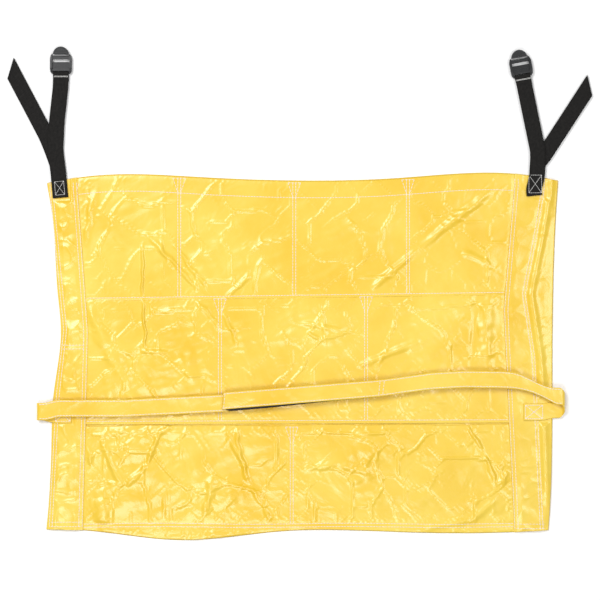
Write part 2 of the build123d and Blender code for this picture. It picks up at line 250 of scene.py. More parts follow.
def webbingMaterial(name):
    # close-woven nylon webbing: ribs across, pairs of warp yarns along
    material, tree, shader = newMaterial(
        name, Roughness=0.75, Specular_IOR_Level=0.2, Sheen_Weight=0.04, Sheen_Roughness=0.45)
    along = addNode(tree, "ShaderNodeAttribute", attribute_name="weave").outputs["Vector"]
    ribs = addNode(tree, "ShaderNodeTexWave", Scale=200.0, Distortion=0.4, bands_direction="X")
    warps = addNode(tree, "ShaderNodeTexWave", Scale=150.0, Distortion=0.3, bands_direction="Y")
    fluff = addNode(tree, "ShaderNodeTexNoise", Scale=260.0, Detail=4.0)
    for node in (ribs, warps, fluff):
        tree.links.new(along, node.inputs["Vector"])
    woven = addNode(tree, "ShaderNodeMath", operation="MULTIPLY")
    tree.links.new(ribs.outputs["Fac"], woven.inputs[0])
    tree.links.new(warps.outputs["Fac"], woven.inputs[1])
    mixed = addNode(tree, "ShaderNodeMath", operation="ADD")
    tree.links.new(woven.outputs[0], mixed.inputs[0])
    tree.links.new(fluff.outputs["Fac"], mixed.inputs[1])
    dark, light = (0.004, 0.0037, 0.0034), (0.019, 0.0175, 0.016)
    tree.links.new(twoTone(tree, mixed.outputs[0], dark, light, 0.45, 1.3), shader.inputs["Base Color"])
    bumpChain(tree, shader, [(woven.outputs[0], 0.8, 0.0005), (fluff.outputs["Fac"], 0.3, 0.0002)])
    return material


def plasticMaterial(name):
    # moulded acetal with a fine spark-eroded grain
    material, tree, shader = newMaterial(
        name, Specular_IOR_Level=0.35, Coat_Weight=0.08, Coat_Roughness=0.25, IOR=1.48)
    place = tree.nodes.new("ShaderNodeTexCoord").outputs["Object"]
    grain = addNode(tree, "ShaderNodeTexNoise", Scale=1400.0, Detail=3.0)
    smear = addNode(tree, "ShaderNodeTexNoise", Scale=60.0, Detail=4.0)
    for node in (grain, smear):
        tree.links.new(place, node.inputs["Vector"])
    dark, light = (0.010, 0.0105, 0.0115), (0.022, 0.023, 0.025)
    tree.links.new(twoTone(tree, smear.outputs["Fac"], dark, light), shader.inputs["Base Color"])
    rough = addNode(tree, "ShaderNodeMapRange")
    rough.inputs["To Min"].default_value = 0.32
    rough.inputs["To Max"].default_value = 0.5
    tree.links.new(smear.outputs["Fac"], rough.inputs["Value"])
    tree.links.new(rough.outputs["Result"], shader.inputs["Roughness"])
    bumpChain(tree, shader, [(grain.outputs["Fac"], 0.3, 0.00012)])
    return material


def tapeMaterial(name):
    # hook-and-loop tape: a dense nap of short bristles
    material, tree, shader = newMaterial(name, Roughness=0.85, Sheen_Weight=0.3, Sheen_Roughness=0.4)
    place = tree.nodes.new("ShaderNodeTexCoord").outputs["Object"]
    nap = addNode(tree, "ShaderNodeTexVoronoi", Scale=900.0)
    tree.links.new(place, nap.inputs["Vector"])
    tip, root = (0.030, 0.028, 0.028), (0.008, 0.008, 0.008)
    tree.links.new(twoTone(tree, nap.outputs["Distance"], tip, root, 0.1, 0.7), shader.inputs["Base Color"])
    bumpChain(tree, shader, [(nap.outputs["Distance"], 0.9, 0.0005)])
    return material


panelVinyl = vinylMaterial("panelVinyl", 0.97, 0.6)
pocketVinyl = {
    "top": vinylMaterial("topPocketVinyl", 1.0, 0.2),
    "middle": vinylMaterial("middlePocketVinyl", 1.0, 0.3),
    "bottom": vinylMaterial("bottomPocketVinyl", 1.0, 0.45),
}
facingVinyl = vinylMaterial("facingVinyl", 0.99, 0.5)
beltVinyl = vinylMaterial("beltVinyl", 1.0, 0.35)
seamThread = threadMaterial("seamThread", (1.0, 0.91, 0.82))
greyThread = threadMaterial("greyThread", (0.80, 0.79, 0.76))
blackWebbing = webbingMaterial("blackWebbing")
bucklePlastic = plasticMaterial("bucklePlastic")
hookTape = tapeMaterial("hookTape")
print("materials made")


def makePiece(name, points, faces, material):
    mesh = bpy.data.meshes.new(name)
    mesh.from_pydata([tuple(p) for p in points], [], [tuple(f) for f in faces])
    mesh.shade_smooth()
    mesh.materials.append(material)
    piece = bpy.data.objects.new(name, mesh)
    scene.collection.objects.link(piece)
    return piece


def gridFaces(columns, rows):
    index = np.arange(columns * rows).reshape(rows, columns)
    return np.stack([index[:-1, :-1], index[:-1, 1:], index[1:, 1:], index[1:, :-1]], -1).reshape(-1, 4)


def thicken(piece, thickness):
    solid = piece.modifiers.new("cloth thickness", "SOLIDIFY")
    solid.thickness = thickness
    solid.offset = -1


def cloudAt(points, size, seed):
    # smooth noise of about the given size, one value from -1 to 1 for each point
    shift = Vector((seed * 3.17, seed * 1.31, seed * 0.77))
    return np.array([noise.noise(Vector((p[0], p[1], 0)) / size + shift) for p in points])


def ridgeAt(points, size, seed, warp=0.5, sharp=6):
    # creased noise: thin ridges between flat patches, from 0 to 1
    bendX, bendY = cloudAt(points, size * 1.6, seed + 5), cloudAt(points, size * 1.6, seed + 9)
    moved = np.stack([points[:, 0] + bendX * size * warp, points[:, 1] + bendY * size * warp], 1)
    return (1 - np.abs(cloudAt(moved, size, seed))) ** sharp


def turned(points, angle, squeeze):
    # plan points turned, and squeezed across, so that noise on them comes out as long folds
    c, s = math.cos(angle), math.sin(angle)
    x, y = points[:, 0], points[:, 1]
    return np.stack([x * c + y * s, (y * c - x * s) * squeeze], 1)


def crumple(points, seed):
    # height of a handled sheet: long folds crossing at two angles, fewer where the sheet lies calm
    calm = np.clip(0.62 + cloudAt(points, 95 * mm, seed + 1) * 1.5, 0.15, 1)
    steep = ridgeAt(turned(points, 1.15, 0.4), 40 * mm, seed, 0.3, 3) * 1.0 * mm
    crossing = ridgeAt(turned(points, 2.3, 0.5), 52 * mm, seed + 2, 0.3, 2) * 1.1 * mm
    short = ridgeAt(points, 24 * mm, seed + 3, 0.5, 2) * 0.3 * mm
    soft = cloudAt(turned(points, 1.9, 0.35), 17 * mm, seed + 7) * 2.4 * mm
    soft = soft + cloudAt(turned(points, 0.5, 0.4), 13 * mm, seed + 8) * 1.1 * mm
    broad = cloudAt(points, 40 * mm, seed + 4) * 1.6 * mm + cloudAt(points, 75 * mm, seed + 6) * 2.4 * mm
    return (steep + crossing + short + soft) * calm + broad


# the cloth settles at ten times its size, where the solver is steady
clothSettle = {
    "scale": 10.0, "steps": 26, "quality": 6, "stiffness": 30.0, "bend": 0.9, "mass": 0.25,
    "gap": 0.006, "tallest": 6.5 * mm,
}


def settleCloth(piece, pinned, growth, floorZ):
    # lets a sheet that is cut a little larger than its seams buckle and lie down again
    scale = clothSettle["scale"]
    mesh = piece.data
    mesh.transform(Matrix.Scale(scale, 4))
    group = piece.vertex_groups.new(name="seams")
    group.add([int(i) for i in np.nonzero(pinned)[0]], 1.0, "REPLACE")
    bpy.ops.mesh.primitive_plane_add(size=14, location=(0, 0, floorZ * scale))
    table = bpy.context.object
    table.modifiers.new("table", "COLLISION")
    table.collision.thickness_outer = 0.004
    cloth = piece.modifiers.new("settle", "CLOTH")
    cloth.settings.quality = clothSettle["quality"]
    cloth.settings.mass = clothSettle["mass"]
    cloth.settings.tension_stiffness = clothSettle["stiffness"]
    cloth.settings.compression_stiffness = clothSettle["stiffness"]
    cloth.settings.shear_stiffness = clothSettle["stiffness"] / 2
    cloth.settings.bending_stiffness = clothSettle["bend"]
    cloth.settings.vertex_group_mass = "seams"
    cloth.settings.shrink_min = -growth
    cloth.collision_settings.distance_min = clothSettle["gap"]
    cloth.point_cache.frame_start = 1
    cloth.point_cache.frame_end = clothSettle["steps"]
    for step in range(1, clothSettle["steps"] + 1):
        scene.frame_set(step)
    done = piece.evaluated_get(bpy.context.evaluated_depsgraph_get())
    points = np.array([v.co for v in done.data.vertices]) / scale
    piece.modifiers.remove(cloth)
    piece.vertex_groups.remove(group)
    bpy.data.objects.remove(table)
    scene.frame_set(1)
    return points


def gentle(share):
    share = np.clip(share, 0, 1)
    return share * share * (3 - 2 * share)


def pressFlat(z, base, tallest, softness=1.0 * mm):
    # keeps folds between the level they lie on and the tallest, without a hard edge at either
    rise = z - base
    rise = (rise + np.sqrt(rise ** 2 + softness ** 2) - softness) / 2
    return base + np.where(rise > 0, tallest * np.tanh(rise / tallest), rise)


def refine(grid, times):
    # a finer grid through the same points, smoothed along both ways
    for way in (0, 1):
        grid = np.moveaxis(grid, way, 0)
        count = len(grid)
        places = np.linspace(0, count - 1, (count - 1) * times + 1)
        low = np.clip(places.astype(int), 0, count - 2)
        t = (places - low)[:, None, None]
        before, after = grid[np.maximum(low - 1, 0)], grid[np.minimum(low + 2, count - 1)]
        a, b = grid[low], grid[low + 1]
        cubic = 3 * (a - b) + after - before
        square = 2 * before - 5 * a + 4 * b - after
        grid = a + 0.5 * t * (b - before + t * (square + t * cubic))
        grid = np.moveaxis(grid, 0, way)
    return grid


def segmentField(points, start, end, width):
    # 1 on the segment, fading to 0 at about its width, and fading towards both ends
    start, end = np.array(start), np.array(end)
    run = end - start
    t = np.clip(((points[:, :2] - start) @ run) / (run @ run), 0, 1)
    gap = np.linalg.norm(points[:, :2] - start - t[:, None] * run, axis=1)
    return np.exp(-(gap / width) ** 2) * np.clip(np.sin(math.pi * np.clip(t, 0.03, 0.97)) * 1.6, 0, 1)


# growth is how much larger than its seams the sheet is cut, mouthCalm the depth in mm that lies flat
# at the mouth; each fold has its start and end as shares of the row's width and height, then its
# half width and its height in mm
strips = {
    "top": {
        "growth": 0.004, "seed": 11, "crumple": 0.55, "mouthCalm": 34,
        "folds": [
            (0.151, 0.46, 0.141, 0.0, 2.0, 3.6), (0.068, 0.62, 0.122, 0.37, 6, -2.6),
            (0.049, 0.9, 0.012, 0.42, 5, 2.5), (0.161, 0.53, 0.282, 0.05, 3.5, 3.2),
            (0.215, 0.47, 0.3, 0.06, 3, 2.4), (0.397, 0.2, 0.332, 0.0, 4, 2.4),
            (0.42, 0.35, 0.4, 0.02, 4, 1.8), (0.60, 0.66, 0.70, 0.52, 7, 1.4),
            (0.95, 0.88, 0.777, 0.38, 6, 4.0), (0.78, 0.39, 0.672, 0.05, 5, 3.4),
            (0.88, 0.36, 0.95, 0.25, 5, 2.8),
        ],
    },
    "middle": {
        "growth": 0.005, "seed": 23, "crumple": 0.8, "mouthCalm": 22,
        "folds": [
            (0.141, 1.0, 0.144, 0.58, 2.0, 3.8), (0.0, 0.97, 0.06, 0.6, 9, 3.4),
            (0.055, 0.63, 0.114, 0.27, 11, 4.0), (0.13, 0.58, 0.2, 0.57, 3.5, 2.8),
            (0.27, 0.97, 0.33, 0.72, 4, 2.2), (0.33, 0.9, 0.36, 0.6, 3, 2.2),
            (0.24, 0.62, 0.26, 0.3, 9, 2.6), (0.56, 0.96, 0.57, 0.6, 3, 1.6),
            (0.93, 1.0, 0.91, 0.42, 5, -2.8), (0.957, 1.0, 0.94, 0.4, 8, 3.4),
            (0.5, 0.8, 0.62, 0.72, 4, 2.6), (0.52, 0.72, 0.56, 0.66, 3, 2.2),
            (0.784, 0.63, 0.63, 0.43, 5, 2.8),
        ],
    },
    "bottom": {
        "growth": 0.008, "seed": 37, "crumple": 1.2, "mouthCalm": 14,
        "folds": [
            (0.211, 1.0, 0.178, 0.92, 3.5, 3.2), (0.178, 0.93, 0.152, 0.63, 3, 3.4),
            (0.155, 0.65, 0.105, 0.43, 3.5, 3.0), (0.356, 1.0, 0.381, 0.53, 3, 3.0),
            (0.34, 0.92, 0.396, 0.43, 3.5, 3.0), (0.396, 0.43, 0.437, 0.08, 4, 3.0),
            (0.308, 0.57, 0.284, 0.19, 5, 3.6), (0.049, 0.85, 0.097, 0.43, 4, 3.0),
            (0.0, 0.93, 0.03, 0.6, 4, 3.0), (0.05, 0.33, 0.06, 0.05, 10, 4.5),
            (0.89, 1.0, 0.93, 0.74, 3, 3.2), (0.93, 0.75, 0.952, 0.43, 3, 3.4),
            (0.952, 0.43, 0.99, 0.57, 4, 3.0), (0.777, 0.04, 0.9, 0.12, 5, 3.0),
            (0.89, 0.11, 0.95, 0.3, 5, 3.0), (0.51, 0.57, 0.59, 0.62, 5, 2.6),
            (0.59, 0.62, 0.67, 0.53, 5, 2.4), (0.675, 0.78, 0.65, 0.58, 6, 2.6),
        ],
    },
}


def ceiling(points):
    # the height the vinyl may reach beside the pieces sewn flat on it
    top = np.full(len(points), 1.0)
    for node in ("left_strap_tab", "right_strap_tab", "left_belt_anchor", "right_belt_anchor"):
        low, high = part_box(node)
        beside = np.maximum(np.maximum(low.x - points[:, 0], points[:, 0] - high.x), 0)
        above = np.maximum(np.maximum(low.y - points[:, 1], points[:, 1] - high.y), 0)
        top = np.minimum(top, low.z + 0.1 * mm + np.maximum(np.hypot(beside, above) - 2 * mm, 0) * 0.5)
    return top


stripBase = 1.9 * mm         # the sheets' lowest level over the back panel
tuck = 7 * mm                # sheet held under the side facings
rowTilt = 0.014              # the rows of pockets rise a little towards the right
stripWidth = 649 * mm        # between the side bands
stripLeft = -331 * mm
seamCuts = cadCuts("foot_seam_stitching", (1, 0), 0.0)


def stripEdges(rowName):
    # mouth, foot and foot seam heights of a strip as functions of x
    low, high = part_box(rowName + "_pocket_strip")
    middleX = (low.x + high.x) / 2

    def tilt(x): return (x - middleX) * rowTilt

    if rowName == "top":
        def topMouth(x): return topY(x) - 1.5 * mm
        return topMouth, (lambda x: low.y + tilt(x)), (lambda x: seamCuts[-1] + tilt(x))
    if rowName == "middle":
        def middleMouth(x): return high.y + 5 * mm + tilt(x)
        return middleMouth, (lambda x: low.y + tilt(x) * 0.3), (lambda x: seamCuts[0] + tilt(x) * 0.3)
    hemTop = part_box("bottom_hem_stitching")[1].y

    def bottomMouth(x): return high.y + 1 * mm + tilt(x) * 0.3 + 1.1 * mm * np.sin(x * 33) * np.cos(x * 13)

    return bottomMouth, (lambda x: footY(x) + 1 * mm), (lambda x: hemTop + 0 * x)


def vinylStrip(rowName):
    plan = strips[rowName]
    mouth, foot, seam = stripEdges(rowName)
    columns, rows = 187, {"top": 54, "middle": 56, "bottom": 50}[rowName]
    u, v = np.meshgrid(np.linspace(0, 1, columns), np.linspace(0, 1, rows))
    x = u * stripWidth + stripLeft
    for _ in range(3):
        y = foot(x) + v * (mouth(x) - foot(x))
        left, right = leftSeam(y) - tuck, rightSeam(y) + tuck
        x = left + u * (right - left)
    points = np.stack([x, y, np.full_like(x, stripBase)], -1).reshape(-1, 3)
    flat = points.copy()
    aside = np.minimum(x - leftSeam(y), rightSeam(y) - x).ravel()
    aboveSeam = (y - seam(x)).ravel()
    pinned = (aside < 1 * mm) | ((aboveSeam < 2.5 * mm) & (aboveSeam > -9 * mm)) | (v.ravel() < 0.001)
    for divider in dividersOf(rowName):
        offDivider = np.abs(flat[:, 0] - divider)
        belowMouth = (mouth(flat[:, 0]) - flat[:, 1])
        pinned |= offDivider < 2.6 * mm + np.clip(7 * mm * (1 - belowMouth / (22 * mm)), 0, 7 * mm)
    belowMouth = mouth(flat[:, 0]) - flat[:, 1]
    pinned |= belowMouth < 3 * mm
    loose = gentle(aside / (32 * mm)) * gentle(np.abs(aboveSeam) / (30 * mm))
    loose *= gentle(belowMouth / (plan["mouthCalm"] * mm))
    for divider in dividersOf(rowName):
        loose *= gentle(np.abs(flat[:, 0] - divider) / (28 * mm))
    swell = np.abs(cloudAt(flat, 75 * mm, plan["seed"])) * 3.6 * mm
    swell = swell + ridgeAt(flat, 50 * mm, plan["seed"] + 2) * 0.5 * mm
    points[:, 2] += np.where(pinned, 0, loose * swell)
    name, cloth = rowName + "PocketStrip", pocketVinyl[rowName]
    piece = makePiece(name, points, gridFaces(columns, rows), cloth)
    points = settleCloth(piece, pinned, plan["growth"], 1.2 * mm)
    times = 3
    fine = refine(points.reshape(rows, columns, 3), times).reshape(-1, 3)
    calm = refine(np.stack([loose, aside, aboveSeam], -1).reshape(rows, columns, 3), times).reshape(-1, 3)
    unit = refine(np.stack([u, v, v], -1), times).reshape(-1, 3)
    loose, aside = np.clip(calm[:, 0], 0, 1), calm[:, 1]
    for u0, v0, u1, v1, width, height in plan["folds"]:
        size = np.array([stripWidth, abs(mouth(0) - seam(0))])
        wander = cloudAt(fine, 18 * mm, plan["seed"] + width)[:, None] * 0.006
        start, end = np.array([u0, v0]) * size, np.array([u1, v1]) * size
        field = segmentField((unit[:, :2] + wander) * size, start, end, width * mm)
        fine[:, 2] += field * height * mm * np.clip(aside / (8 * mm), 0, 1)
    lively = 0.32 + 0.68 * gentle(1.5 - 1.3 * unit[:, 1]) if rowName == "top" else 1.0
    fine[:, 2] += crumple(fine, plan["seed"]) * plan["crumple"] * lively * (0.3 + 0.7 * loose)
    fine[:, 2] = pressFlat(fine[:, 2], stripBase, clothSettle["tallest"])
    # each strip's foot margin laps over the mouth of the row below
    fine[:, 2] += 0.35 * mm * gentle((-1 * mm - calm[:, 2]) / (3 * mm))
    fine[:, 2] -= 0.25 * mm * gentle(1 - (mouth(fine[:, 0]) - fine[:, 1]) / (8 * mm))
    fine[:, 2] = np.where(aside < 0, stripBase, np.minimum(fine[:, 2], ceiling(fine)))
    count = [(rows - 1) * times + 1, (columns - 1) * times + 1]
    bpy.data.objects.remove(piece)
    piece = makePiece(name, fine, gridFaces(count[1], count[0]), cloth)
    thicken(piece, 0.6 * mm)
    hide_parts(rowName + "_pocket_strip")
    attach(piece, "bag")
    length = float(np.mean(mouth(topXs) - foot(topXs)))
    print(rowName, "pocket strip made, tallest", round(float(fine[:, 2].max()) / mm, 1), "mm")
    return piece


def coonsPatch(left, right, foot, top, columns, rows):
    # a grid inside four edge lines; left and right run upwards, foot and top run rightwards
    def along(line, count):
        line = np.array(line)
        steps = np.r_[0, np.cumsum(np.linalg.norm(np.diff(line, axis=0), axis=1))]
        places = np.linspace(0, steps[-1], count)
        return np.stack([np.interp(places, steps, line[:, k]) for k in (0, 1)], -1)

    left, right = along(left, rows), along(right, rows)
    foot, top = along(foot, columns), along(top, columns)
    u = np.linspace(0, 1, columns)[None, :, None]
    v = np.linspace(0, 1, rows)[:, None, None]
    sides = (1 - u) * left[:, None] + u * right[:, None]
    ends = (1 - v) * foot[None] + v * top[None]
    lowCorners = (1 - u) * (1 - v) * foot[0] + u * (1 - v) * foot[-1]
    highCorners = (1 - u) * v * top[0] + u * v * top[-1]
    return sides + ends - (lowCorners + highCorners)


def edgeLine(start, end, follow, way):
    # a line from corner to corner that follows an edge function of x (way 0) or y (way 1)
    places = np.linspace(start[way], end[way], 60)
    other = follow(places)
    share = np.linspace(0, 1, 60)
    other = other + (start[1 - way] - other[0]) * (1 - share) ** 12
    other = other + (end[1 - way] - follow(places)[-1]) * share ** 12
    line = np.stack([places, other], -1)
    return line if way == 0 else line[:, ::-1]


def makeBackPanel():
    corner = panelCorners
    columns, rows = 330, 240
    grid = coonsPatch(edgeLine(corner["footLeft"], corner["topLeft"], leftX, 1),
                      edgeLine(corner["footRight"], corner["topRight"], rightX, 1),
                      edgeLine(corner["footLeft"], corner["footRight"], footY, 0),
                      edgeLine(corner["topLeft"], corner["topRight"], topY, 0), columns, rows)
    grid = grid.reshape(-1, 2)
    z = 0.55 * mm + cloudAt(grid, 90 * mm, 3) * 0.3 * mm + ridgeAt(grid, 26 * mm, 6) * 0.35 * mm
    piece = makePiece("backPanel", np.c_[grid, z], gridFaces(columns, rows), panelVinyl)
    thicken(piece, 0.5 * mm)
    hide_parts("back_panel")
    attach(piece, "bag")
    return piece


# inward is the way from the panel's edge to the band's inner seam
bands = {
    "left": {"outer": leftX, "inner": leftSeam, "thread": leftBand, "inward": 1, "seed": 41},
    "right": {"outer": rightX, "inner": rightSeam, "thread": rightBand, "inward": -1, "seed": 47},
}


def makeFacing(side):
    node = side + "_edge_facing"
    corner = cornersOf(node)
    plan = bands[side]
    outer, inner, seed = plan["outer"], plan["inner"], plan["seed"]
    outerCorners, innerCorners = ("Left", "Right") if side == "left" else ("Right", "Left")
    outerLine = edgeLine(corner["foot" + outerCorners], corner["top" + outerCorners], outer, 1)
    innerLine = edgeLine(corner["foot" + innerCorners], corner["top" + innerCorners], inner, 1)
    left, right = (outerLine, innerLine) if side == "left" else (innerLine, outerLine)
    columns, rows = 40, 380
    grid = coonsPatch(left, right, [left[0], right[0]], [left[-1], right[-1]], columns, rows)
    grid = grid.reshape(-1, 2)
    fromOuter = np.abs(grid[:, 0] - outer(grid[:, 1]))
    thread = plan["thread"](grid[:, 1])
    fromBand = (thread - grid[:, 0]) * plan["inward"]
    edgeRoom = np.abs(outer(grid[:, 1]) - thread)
    fromInner = np.abs(grid[:, 0] - inner(grid[:, 1]))
    free = np.clip(np.minimum(fromOuter - 4 * mm, fromInner - 5 * mm) / (9 * mm), 0, 1)
    swell = np.abs(cloudAt(grid, 45 * mm, seed)) * 2.6 * mm + ridgeAt(grid, 24 * mm, seed + 2) * 1.6 * mm
    folded = gentle((edgeRoom - 8 * mm) / (10 * mm))
    creased = free * swell + crumple(grid, seed + 4) * (0.2 + 0.5 * free)
    z = 2.6 * mm + creased * (1 - 0.6 * folded)
    # where the band is sewn well inside the edge, the cloth beyond it stands up in a fold
    fold = 3.4 * mm * np.exp(-((fromBand - 9 * mm) / (6 * mm)) ** 2)
    z += folded * (fold - 1.5 * mm * np.exp(-(fromBand / (3 * mm)) ** 2))
    z = np.maximum(z, 2.1 * mm) - np.clip(1 - fromOuter / (5 * mm), 0, 1) * 0.7 * mm
    z = np.minimum(z, ceiling(grid))
    piece = makePiece(side + "Facing", np.c_[grid, z], gridFaces(columns, rows), facingVinyl)
    thicken(piece, 0.6 * mm)
    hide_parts(node)
    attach(piece, "bag")
    low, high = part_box(node)
    area = float(np.mean(np.abs(outer(facingYs) - inner(facingYs)))) * (high.y - low.y)
    return piece


backPanel = makeBackPanel()
facings = {side: makeFacing(side) for side in ("left", "right")}
pocketStrips = {rowName: vinylStrip(rowName) for rowName in ("top", "middle", "bottom")}


def sweepRibbon(name, centres, across, halfWidth, material, columns=9, crown=0.0, slant=0.0,
                uneven=0.0, seed=1):
    # a strip of cloth along a line in space; across is the unit vector from its middle to its left edge
    centres, across = np.array(centres), np.array(across)
    steps = np.r_[0, np.cumsum(np.linalg.norm(np.diff(centres, axis=0), axis=1))]
    forward = np.gradient(centres, axis=0)
    forward /= np.linalg.norm(forward, axis=1)[:, None]
    up = np.cross(forward, across)
    side = np.linspace(-1, 1, columns)
    points = centres[:, None] + across[:, None] * (side * halfWidth)[None, :, None]
    points = points + up[:, None] * (crown * (1 - side ** 2))[None, :, None]
    nearEnd = (steps / steps[-1]) ** 14
    points = points + forward[:, None] * (side[None, :, None] * slant / 2) * nearEnd[:, None, None]
    flat = np.stack([np.repeat(steps, columns), np.tile(side * halfWidth, len(steps))], -1)
    points = points.reshape(-1, 3)
    if uneven:
        lift = cloudAt(flat, 26 * mm, seed) * uneven + ridgeAt(flat, 20 * mm, seed + 3) * uneven * 0.5
        points += np.repeat(up, columns, 0) * lift[:, None]
    piece = makePiece(name, points, gridFaces(columns, len(centres)), material)
    weave = piece.data.attributes.new("weave", "FLOAT_VECTOR", "POINT")
    weave.data.foreach_set("vector", np.c_[flat, np.zeros(len(flat))].astype(np.float32).ravel())
    return piece, float(steps[-1])


def smoothLine(points, spacing, rounding=2):
    # evenly spaced points along a line, with its corners rounded
    points = np.array(points, float)
    for _ in range(rounding):
        quarter = points[:-1] * 0.75 + points[1:] * 0.25
        late = points[:-1] * 0.25 + points[1:] * 0.75
        points = np.r_[points[:1], np.stack([quarter, late], 1).reshape(-1, points.shape[1]), points[-1:]]
    steps = np.r_[0, np.cumsum(np.linalg.norm(np.diff(points, axis=0), axis=1))]
    places = np.linspace(0, steps[-1], max(int(steps[-1] / spacing), 2) + 1)
    return np.stack([np.interp(places, steps, points[:, k]) for k in range(points.shape[1])], -1)


def planAcross(centres):
    # unit vectors to the left of a line's plan, steady where the line turns over on itself
    way = np.gradient(np.array(centres), axis=0)[:, :2]
    size = np.linalg.norm(way, axis=1)
    way = way / np.maximum(size, 1e-9)[:, None]
    return np.c_[-way[:, 1], way[:, 0], np.zeros(len(way))]


def jointOf(name):
    return next(j for j in frame["joints"] if j["name"] == name)


belts = {
    "right": {"tapes": ("hook_strip", "hookTape"), "seed": 61, "uneven": 0.7 * mm},
    "left": {"tapes": ("loop_strip", "loopTape"), "seed": 67, "uneven": 0.7 * mm},
}
beltHalf, beltThick = 13.4 * mm, 1.5 * mm
tapeHalf = 11.5 * mm
beltPieces, beltLines = {}, {}


def makeBelt(side):
    # a doubled vinyl belt: sewn end, half turn at the fold, then the free length lying over the pockets
    node, anchor = side + "_belt", side + "_belt_anchor"
    plan = belts[side]
    low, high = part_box(node)
    way = 1 if side == "right" else -1
    foldX = high.x if way > 0 else -low.x
    freeX = way * (low.x if way > 0 else high.x)
    anchorLow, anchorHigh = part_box(anchor)
    anchorStart = way * (anchorLow.x if way > 0 else anchorHigh.x)
    topZ, footZ = (low.z + high.z) / 2, (anchorLow.z + anchorHigh.z) / 2
    radius = (topZ - footZ) / 2
    turn = foldX - radius - 1.2 * mm
    line = []
    for reach in np.linspace(anchorStart + 1 * mm, turn - 8 * mm, 6):
        line.append((way * reach, sum(spanY(anchor, way * reach)) / 2, footZ))
    startY = line[-1][1]
    beltReach = np.linspace(turn - 12 * mm, freeX + 4 * mm, 34)
    beltYs = [sum(spanY(node, way * reach)) / 2 for reach in beltReach]
    for angle in np.linspace(-90, 90, 15):
        bend = math.radians(angle)
        share = (angle + 90) / 180
        line.append((way * (turn + radius * math.cos(bend)), startY + (beltYs[0] - startY) * share,
                     footZ + radius + radius * math.sin(bend)))
    line += [(way * reach, y, topZ) for reach, y in zip(beltReach, beltYs)]
    line[-1] = (way * freeX, beltYs[-1] + (beltYs[-1] - beltYs[-2]) * 0.5, topZ)
    centres = smoothLine(line, 2.2 * mm)
    across = planAcross(centres)
    across[:, 1] = np.abs(across[:, 1])
    onward = np.sign(centres[-1, 0] - centres[0, 0]) * np.sign(np.gradient(centres[:, 0]))
    across[:, 0] = np.where(across[:, 1] < 0.8, 0, across[:, 0] * onward)
    turning = (np.abs(centres[:, 2] - topZ) > 0.05 * mm) & (np.abs(centres[:, 2] - footZ) > 0.05 * mm)
    across[turning] = (0, 1, 0)
    for _ in range(6):
        across[1:-1] = (across[:-2] + across[1:-1] + across[2:]) / 3
    across /= np.linalg.norm(across, axis=1)[:, None]
    piece, length = sweepRibbon(side + "Belt", centres, across, beltHalf, beltVinyl, columns=19,
                                crown=-0.3 * mm, uneven=plan["uneven"], seed=plan["seed"])
    thicken(piece, beltThick)
    piece.modifiers["cloth thickness"].offset = 0
    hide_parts(node, anchor)
    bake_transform(piece)
    beltPieces[side], beltLines[side] = piece, (centres, across, topZ, footZ)
    tapeNode, tapeName = plan["tapes"]
    tapeLow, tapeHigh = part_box(tapeNode)
    tapeCentres = []
    for x in np.linspace(tapeLow.x + 1.5 * mm, tapeHigh.x - 1.5 * mm, 60):
        drop = 2.9 * mm * gentle(1.25 - (x - tapeLow.x) / (tapeHigh.x - tapeLow.x) * 1.5)
        tapeCentres.append((x, sum(spanY(tapeNode, x)) / 2 - drop, (tapeLow.z + tapeHigh.z) / 2))
    tape, tapeLength = sweepRibbon(tapeName, tapeCentres, planAcross(tapeCentres), tapeHalf, hookTape,
                                   uneven=0.2 * mm, seed=plan["seed"] + 9)
    thicken(tape, 0.8 * mm)
    tape.modifiers["cloth thickness"].offset = 0
    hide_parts(tapeNode)
    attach(tape, node)


for side in ("right", "left"):
    makeBelt(side)
print("belts made")


webbingHalf = 12.2 * mm
webbingThick = 1.4 * mm


